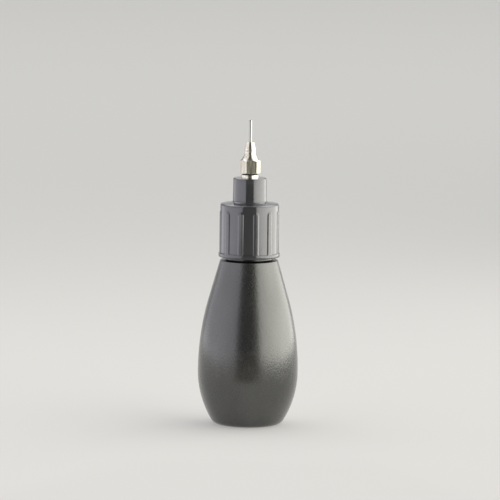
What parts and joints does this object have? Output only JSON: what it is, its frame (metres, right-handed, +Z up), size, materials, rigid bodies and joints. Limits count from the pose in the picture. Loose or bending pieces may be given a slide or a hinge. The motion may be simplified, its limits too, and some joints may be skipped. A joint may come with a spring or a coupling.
{
  "type": "glue applicator bottle",
  "caption": "Teardrop squeeze bottle with a ribbed screw cap and a screw-in metal tip that lays glue through a fine steel needle.",
  "frame": {"origin": "centre of the foot, on the surface that the bottle stands on", "axes": "+Z up along the bottle's axis to the needle's tip, -Y towards the front"},
  "size_m": [0.0346, 0.0346, 0.1055],
  "materials": {
    "bottle_plastic": "satin",
    "liner_foam": "matte",
    "cap_plastic": "gloss",
    "plated_brass": "nickel plated",
    "gasket_rubber": "matte",
    "needle_steel": "polished"
  },
  "bodies": {
    "bottle": {"bottle": "bottle_plastic"},
    "liner": {"cap_liner": "liner_foam"},
    "cap": {"cap": "cap_plastic", "tip_socket": "plated_brass"},
    "gasket": {"tip_gasket": "gasket_rubber"},
    "tip": {"tip_hub": "plated_brass", "needle": "needle_steel"}
  },
  "joints": [
    {"name": "cap_lift", "type": "slide", "parent": "bottle", "child": "liner", "axis": [0, 0, 1], "range_m": [0, 0.01746]},
    {"name": "cap_turn", "type": "hinge", "parent": "liner", "child": "cap", "pos_m": [0, 0, 0.0755], "axis": [0, 0, 1], "range_deg": [0, 1981]},
    {"name": "tip_lift", "type": "slide", "parent": "cap", "child": "gasket", "axis": [0, 0, 1], "range_m": [0, 0.0049]},
    {"name": "tip_turn", "type": "hinge", "parent": "gasket", "child": "tip", "pos_m": [0, 0, 0.087], "axis": [0, 0, 1], "range_deg": [0, 2521]}
  ],
  "couplings": [
    {"joint": "cap_turn", "follows": "cap_lift", "rad_per_m": 1979},
    {"joint": "tip_turn", "follows": "tip_lift", "rad_per_m": 8976}
  ]
}
